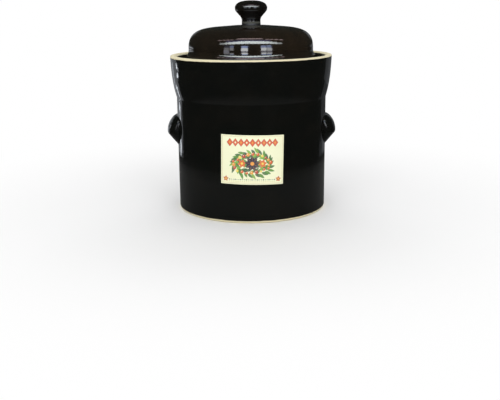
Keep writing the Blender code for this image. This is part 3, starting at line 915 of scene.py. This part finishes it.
class Stoneware:
    """A glazed clay material that goes raw beyond an edge, and may be dull in places.

    The edge is a distance, negative under the glaze, and dull is a share, which may be left out.
    """

    CLAY = (0.78, 0.715, 0.48)
    CLAY_DARK = (0.60, 0.51, 0.30)
    RUST = (0.060, 0.040, 0.022)
    GLOSS = (0.045, 0.11)
    GLOSS_BOUNDS = (0.3, 0.8)
    CLOUD_BOUNDS = (0.35, 0.72)
    SPECK_BOUNDS = (0.68, 0.76)
    SPECK_SHARE = 0.5
    SPECK_LIGHTER = 1.9
    RAW_BOUNDS = (-0.15 * MM, 0.25 * MM)
    RAW_ROUGHNESS = 0.85
    RUST_BOUNDS = (-0.8 * MM, -0.2 * MM)
    GROG_BOUNDS = (0.55, 0.75)
    GROG_SHARE = 0.45
    CLAY_CLOUD_SHARE = 0.25

    def __init__(self, name, deep, thin, specular_ior=1.55, ripple=1.0):
        self.material = bpy.data.materials.new(name)
        self.material.use_nodes = True
        self.tree = self.material.node_tree
        self.shader = self.tree.nodes["Principled BSDF"]
        self.shader.inputs["IOR"].default_value = specular_ior
        self.position = add_node(self.tree, "ShaderNodeTexCoord").outputs["Object"]
        parts = add_node(self.tree, "ShaderNodeSeparateXYZ", {0: self.position})
        self.across = parts.outputs[0]
        self.height = parts.outputs[2]
        squares = [math_node(self.tree, "POWER", parts.outputs[axis], 2.0) for axis in (0, 1)]
        self.radius = math_node(self.tree, "SQRT", math_node(self.tree, "ADD", *squares))
        self.edges = []
        self.dull = None
        self.deep = deep
        self.thin = thin
        self.ripple = ripple

    def edge_wander(self, reach):
        """A slow wander of a glaze line, in metres."""
        wander = noise_node(self.tree, self.position, EDGE_GRAINS, detail=3.0)
        return math_node(self.tree, "MULTIPLY", math_node(self.tree, "SUBTRACT", wander, 0.5), 2 * reach)

    def raw_above(self, level, wander):
        """The clay is raw above a level, which may be a socket."""
        over = math_node(self.tree, "SUBTRACT", self.height, level)
        self.edges.append(math_node(self.tree, "ADD", over, self.edge_wander(wander)))

    def raw_below(self, level, wander):
        """The clay is raw below a level."""
        under = math_node(self.tree, "SUBTRACT", level, self.height)
        self.edges.append(math_node(self.tree, "ADD", under, self.edge_wander(wander)))

    def raw_between(self, low, high, wander):
        """The clay is raw in a band of heights."""
        inside = math_node(self.tree, "MINIMUM", *(
            math_node(self.tree, "SUBTRACT", *pair) for pair in ((self.height, low), (high, self.height))
        ))
        self.edges.append(math_node(self.tree, "ADD", inside, self.edge_wander(wander)))

    def build(self, rust=True):
        """Wire the colours, roughness and relief."""
        tree = self.tree
        cloud = noise_node(tree, self.position, CLOUD_GRAINS, detail=4.0, roughness=0.6)
        specks = noise_node(tree, self.position, SPECK_GRAINS, detail=1.0)
        speck = ramp(tree, specks, *self.SPECK_BOUNDS)
        colour = mix_colours(tree, ramp(tree, cloud, *self.CLOUD_BOUNDS), self.deep, self.thin)
        brown = tuple(self.SPECK_LIGHTER * part for part in self.thin)
        colour = mix_colours(tree, math_node(tree, "MULTIPLY", speck, self.SPECK_SHARE), colour, brown)
        gloss = noise_node(tree, self.position, GLOSS_GRAINS, detail=3.0)
        gloss = ramp(tree, gloss, *self.GLOSS_BOUNDS, *self.GLOSS)
        if self.dull is not None:
            gloss = add_node(tree, "ShaderNodeMix", {0: self.dull, 2: gloss, 3: DULL_GLAZE}).outputs[0]
        fine = noise_node(tree, self.position, FINE_RIPPLE_GRAINS, detail=2.0)
        slow = noise_node(tree, self.position, SLOW_RIPPLE_GRAINS, detail=1.0)
        relief = bump(tree, slow, SLOW_RIPPLE * self.ripple)
        relief = bump(tree, fine, FINE_RIPPLE * self.ripple, relief)
        if self.edges:
            edge = self.edges[0]
            for other in self.edges[1:]:
                edge = math_node(tree, "MAXIMUM", edge, other)
            raw = ramp(tree, edge, *self.RAW_BOUNDS)
            grains = noise_node(tree, self.position, GROG_GRAINS, detail=2.0)
            clouds = noise_node(tree, self.position, CLAY_CLOUD_GRAINS, detail=3.0)
            share = math_node(tree, "MULTIPLY", ramp(tree, grains, *self.GROG_BOUNDS), self.GROG_SHARE)
            clay = mix_colours(tree, share, self.CLAY, self.CLAY_DARK)
            share = math_node(tree, "MULTIPLY", clouds, self.CLAY_CLOUD_SHARE)
            clay = mix_colours(tree, share, clay, self.CLAY_DARK)
            if rust:
                colour = mix_colours(tree, ramp(tree, edge, *self.RUST_BOUNDS), colour, self.RUST)
            colour = mix_colours(tree, raw, colour, clay)
            gloss = add_node(tree, "ShaderNodeMix", {0: raw, 2: gloss, 3: self.RAW_ROUGHNESS}).outputs[0]
            rough = math_node(tree, "MULTIPLY", grains, raw)
            relief = bump(tree, rough, GROG_DEPTH, relief)
            relief = bump(tree, raw, -GLAZE_STEP, relief)
        tree.links.new(colour, self.shader.inputs["Base Color"])
        tree.links.new(gloss, self.shader.inputs["Roughness"])
        tree.links.new(relief, self.shader.inputs["Normal"])
        return self.material


def body_material():
    """Near-black glaze, wiped off the lip and the foot."""
    ware = Stoneware("body_glaze", (0.0030, 0.0036, 0.0030), (0.0046, 0.0046, 0.0036))
    lip_middle = RIM_RADIUS - COLLAR_WALL / 2
    lip = (lip_middle - LIP_TURN, lip_middle + LIP_TURN)
    edge = ramp(ware.tree, ware.radius, *lip, CREST - LIP_GLAZE_INSIDE, CREST - LIP_GLAZE_OUTSIDE)
    left = -LIP_GLAZE_LEFT_REACH * RIM_RADIUS
    lower = ramp(ware.tree, ware.across, left, 0.0, -LIP_GLAZE_LEFT, 0.0)
    ware.raw_above(math_node(ware.tree, "ADD", edge, lower), LIP_WANDER)
    ware.raw_below(FOOT_WIPED, FOOT_WANDER)
    return ware.build()


def lid_material():
    """Warm brown-black glaze, bare on the foot of the skirt and rubbed dull round the knob."""
    ware = Stoneware("lid_glaze", (0.0105, 0.0080, 0.0055), (0.0170, 0.0120, 0.0075), ripple=0.8)
    ware.raw_below(lid_low.z + SKIRT_WIPED, SKIRT_WANDER)
    ware.dull = ramp(ware.tree, ware.radius, *DULL_REACH, 1.0, 0.0)
    return ware.build()


def knob_material():
    """The knob's glaze, dull at its foot and wiped to a yellow band above the joint with the lid."""
    ware = Stoneware("knob_glaze", (0.0050, 0.0046, 0.0040), (0.0090, 0.0072, 0.0050), 1.5, 0.6)
    ware.CLAY = (0.047, 0.044, 0.029)
    ware.CLAY_DARK = (0.030, 0.027, 0.017)
    ware.GLOSS = (0.09, 0.14)
    low, high = (knob_low.z + rise for rise in STEM_WIPED)
    ware.raw_between(low, high, STEM_WANDER)
    low, high = (knob_low.z + rise for rise in DULL_FOOT)
    ware.dull = ramp(ware.tree, ware.height, low, high, 1.0, 0.0)
    return ware.build(rust=False)


def handle_material():
    """The body's glaze on the pressed lugs, duller and a little more uneven."""
    ware = Stoneware("handle_glaze", (0.0030, 0.0036, 0.0030), (0.0050, 0.0048, 0.0038), 1.35, 1.3)
    ware.GLOSS = (0.12, 0.20)
    return ware.build()


def stone_material():
    """Raw fired clay with grog."""
    ware = Stoneware("raw_stoneware", UNSEEN, UNSEEN)
    ware.raw_above(BELOW_ALL, 0.0)
    return ware.build(rust=False)


def paper_material():
    """Coated paper: the print, a faint fibre cloud and a low gloss."""
    material = bpy.data.materials.new("label_paper")
    material.use_nodes = True
    tree = material.node_tree
    shader = tree.nodes["Principled BSDF"]
    position = add_node(tree, "ShaderNodeTexCoord").outputs["Object"]
    ink = add_node(tree, "ShaderNodeAttribute", attribute_name="print").outputs["Color"]
    fibres = noise_node(tree, position, FIBRE_GRAINS, detail=4.0, roughness=0.7)
    clouds = noise_node(tree, position, PAPER_CLOUD_GRAINS, detail=3.0)
    share = math_node(tree, "MULTIPLY", ramp(tree, clouds, *YELLOWED_BOUNDS), YELLOWED_SHARE)
    colour = mix_colours(tree, share, ink, YELLOWED)
    tree.links.new(colour, shader.inputs["Base Color"])
    tree.links.new(ramp(tree, fibres, *FIBRE_BOUNDS, *PAPER_ROUGHNESS), shader.inputs["Roughness"])
    relief = bump(tree, clouds, COCKLE, bump(tree, fibres, FIBRE_DEPTH))
    tree.links.new(relief, shader.inputs["Normal"])
    return material


def add_camera():
    """The photograph's view."""
    camera = bpy.data.objects.new("camera", bpy.data.cameras.new("camera"))
    camera.data.lens = CAMERA_LENS
    camera.data.sensor_width = CAMERA_SENSOR
    camera.location = CAMERA_PLACE
    turn = Matrix.Rotation(CAMERA_YAW, 3, "Z") @ Matrix.Rotation(math.pi / 2 - CAMERA_PITCH, 3, "X")
    camera.rotation_euler = (turn @ Matrix.Rotation(CAMERA_ROLL, 3, "Z")).to_euler()
    bpy.context.scene.collection.objects.link(camera)
    bpy.context.scene.camera = camera


def add_panel(name, azimuths, elevations, distance, radiance, colour):
    """A panel lamp that faces the crock and fills a window of directions, given in degrees.

    Azimuth 0 is the camera's side and left of it is negative.
    """
    azimuth = math.radians(sum(azimuths) / 2)
    elevation = math.radians(sum(elevations) / 2)
    half_across = math.radians(azimuths[1] - azimuths[0]) / 2
    half_up = math.radians(elevations[1] - elevations[0]) / 2
    level = math.cos(elevation)
    lamp = bpy.data.lights.new(name, "AREA")
    lamp.shape = "RECTANGLE"
    lamp.size = 2 * distance * level * math.tan(half_across)
    lamp.size_y = 2 * distance * math.tan(half_up)
    lamp.energy = radiance * math.pi * lamp.size * lamp.size_y
    lamp.color = colour
    panel = bpy.data.objects.new(name, lamp)
    away = Vector((math.sin(azimuth) * level, -math.cos(azimuth) * level, math.sin(elevation)))
    panel.location = Vector((0, 0, LIGHT_CENTRE)) + distance * away
    panel.rotation_euler = away.to_track_quat("Z", "Y").to_euler()
    panel.visible_camera = False
    bpy.context.scene.collection.objects.link(panel)
    return panel


def add_mirrored_panel(name, azimuths, elevations, radiance, colour):
    """A panel that only shows in the glaze."""
    add_panel(name, azimuths, elevations, LIGHT_DISTANCE, radiance, colour).visible_diffuse = False


def add_arch(name, azimuths, elevation, fall, half_height, radiance, colour, tapered):
    """A band of light that arches over the front, and may thin out and dim towards both of its ends."""
    first, last = azimuths
    reach = max(abs(first), abs(last)) + ARCH_STEP / 2
    steps = round((last - first) / ARCH_STEP)
    for step in range(steps):
        near = first + (last - first) * step / steps
        far = first + (last - first) * (step + 1) / steps
        middle = (near + far) / 2
        height = elevation - fall * (middle / ARCH_SPAN) ** 2
        half, strength = half_height, radiance
        if tapered:
            half *= math.sqrt(1 - (middle / reach) ** 2)
            strength *= 1 - abs(middle / reach) ** ARCH_DIMMING
        add_mirrored_panel(name, (near, far), (height - half, height + half), strength, colour)


def add_reflections():
    """What the glaze mirrors: windows and ceiling lights in front, and a dim room behind."""
    for arch in ARCHES:
        add_arch(*arch)
    for name, azimuths, sill, panes, top in WINDOWS:
        parts = (
            (WINDOW_SILL, sill, SILL_LIGHT),
            (WINDOW_PANES, panes, PANE_LIGHT),
            (WINDOW_TOP, top, BLUE_SKY),
        )
        for elevations, radiance, colour in parts:
            if radiance > 0:
                add_mirrored_panel(name, azimuths, elevations, radiance, colour)
    for name, azimuths, elevations, radiance, colour in BACK_LIGHTS:
        add_mirrored_panel(name, azimuths, elevations, radiance, colour)


def add_cards():
    """Dim cards beside and behind the crock, and small bright ones, that edge it in the glaze."""
    for name, azimuths, (low, high), radiance in CARDS:
        card = add_panel(name, azimuths, (0, 0), CARD_DISTANCE, radiance, DAYLIGHT)
        card.visible_diffuse = False
        card.data.size_y = (high - low) * MM
        card.data.energy = radiance * math.pi * card.data.size * card.data.size_y
        card.location.z = (low + high) / 2 * MM


def add_fills():
    """Broad soft lamps, which the glaze doesn't mirror."""
    for name, azimuths, elevations, radiance in FILLS:
        add_panel(name, azimuths, elevations, FILL_DISTANCE, radiance, WHITE).visible_glossy = False


def set_world():
    """White where the camera looks, dim where the glaze looks, and an even ambient for the rest."""
    world = bpy.data.worlds.new("world")
    world.use_nodes = True
    tree = world.node_tree
    tree.nodes.clear()
    path = add_node(tree, "ShaderNodeLightPath")

    def background(colour, strength):
        values = {"Color": (*colour, 1.0), "Strength": strength}
        return add_node(tree, "ShaderNodeBackground", values).outputs[0]

    seen = background(WHITE, 1.0)
    around = background(WHITE, AMBIENT)
    mirrored = background(DIM_ROOM_COLOUR, DIM_ROOM)
    values = {0: path.outputs["Is Glossy Ray"], 1: around, 2: mirrored}
    unseen = add_node(tree, "ShaderNodeMixShader", values).outputs[0]
    values = {0: path.outputs["Is Camera Ray"], 1: unseen, 2: seen}
    add_node(tree, "ShaderNodeOutputWorld", {0: add_node(tree, "ShaderNodeMixShader", values).outputs[0]})
    bpy.context.scene.world = world


def add_floor():
    """A white floor that keeps the crock's shadow and fades into the white background around it."""
    shape = bmesh.new()
    bmesh.ops.create_grid(shape, x_segments=1, y_segments=1, size=FLOOR_SIZE / 2)
    floor = object_from("floor", shape)
    material = bpy.data.materials.new("floor")
    material.use_nodes = True
    tree = material.node_tree
    shader = tree.nodes["Principled BSDF"]
    shader.inputs["Roughness"].default_value = FLOOR_ROUGHNESS
    shader.inputs["Specular IOR Level"].default_value = 0.0
    path = add_node(tree, "ShaderNodeLightPath")
    position = add_node(tree, "ShaderNodeTexCoord").outputs["Object"]
    distance = add_node(tree, "ShaderNodeVectorMath", {0: position}, operation="LENGTH").outputs["Value"]
    mirrored = mix_colours(tree, ramp(tree, distance, *FLOOR_NEAR), FLOOR_MIRRORED_NEAR, FLOOR_MIRRORED_FAR)
    colour = mix_colours(tree, path.outputs["Is Glossy Ray"], FLOOR_COLOUR, mirrored)
    tree.links.new(colour, shader.inputs["Base Color"])
    fade = ramp(tree, distance, *FLOOR_FADE)
    share = math_node(tree, "MULTIPLY", fade, path.outputs["Is Camera Ray"])
    white = add_node(tree, "ShaderNodeEmission", {"Color": (*WHITE, 1.0), "Strength": 1.0})
    mixed = add_node(tree, "ShaderNodeMixShader", {0: share, 1: shader.outputs[0], 2: white.outputs[0]})
    tree.links.new(mixed.outputs[0], tree.nodes["Material Output"].inputs["Surface"])
    floor.data.materials.append(material)


add_camera()
build_crock(body_material())
build_lid(lid_material())
build_knob(knob_material())
glazed_lug = handle_material()
build_handle("lug_right", "handle_right", 1, glazed_lug)
build_handle("lug_left", "handle_left", -1, glazed_lug)
build_label(paper_material())
raw_clay = stone_material()
build_stone("stone_right", "weight_stone_right", 1, raw_clay)
build_stone("stone_left", "weight_stone_left", -1, raw_clay)
add_floor()
add_reflections()
add_cards()
add_fills()
set_world()
bpy.context.scene.view_settings.view_transform = "Standard"
